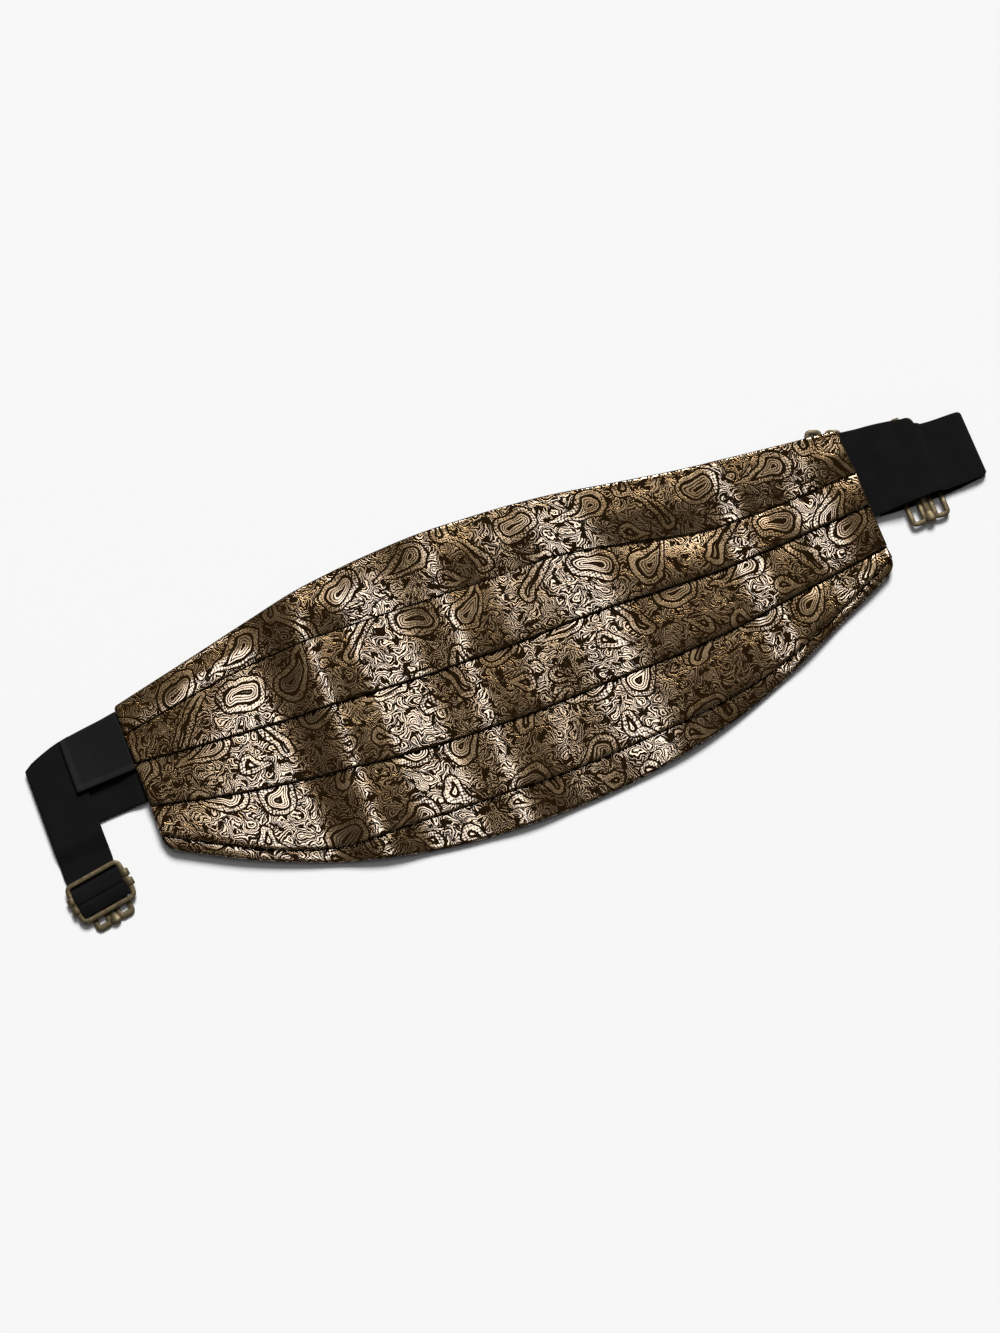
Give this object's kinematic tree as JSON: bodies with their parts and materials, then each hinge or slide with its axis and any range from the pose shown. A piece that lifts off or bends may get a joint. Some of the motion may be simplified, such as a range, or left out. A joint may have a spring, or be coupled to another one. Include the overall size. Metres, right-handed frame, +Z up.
{
  "type": "cummerbund",
  "caption": "Pleated brocade cummerbund lying face up, with a plain lining, elastic bands, a narrow strap in a wire slide, and wire hooks.",
  "frame": {"origin": "middle of the whole piece's bounding box, on the surface that it lies on", "axes": "+X along the panel towards the folded band, +Y towards the panel's upper edge, +Z up out of the pleated face"},
  "size_m": [0.4962, 0.1558, 0.009],
  "materials": {
    "brocade": "dark brown jacquard with fine metallic gold paisley lines",
    "lining": "plain black twill",
    "elastic": "matte black woven elastic with fine ribs",
    "satin": "soft black satin",
    "antique_brass": "worn antique brass"
  },
  "bodies": {
    "root": {"pleat_1": "brocade", "pleat_2": "brocade", "pleat_3": "brocade", "pleat_4": "brocade", "pleat_5": "brocade", "back_lining": "lining", "left_band": "elastic", "left_strap": "elastic", "label": "satin", "right_band": "elastic", "left_slide": "antique_brass", "left_hook": "antique_brass", "right_slide": "antique_brass", "right_plate": "antique_brass", "side_hook": "antique_brass", "back_hook": "antique_brass"}
  },
  "joints": []
}
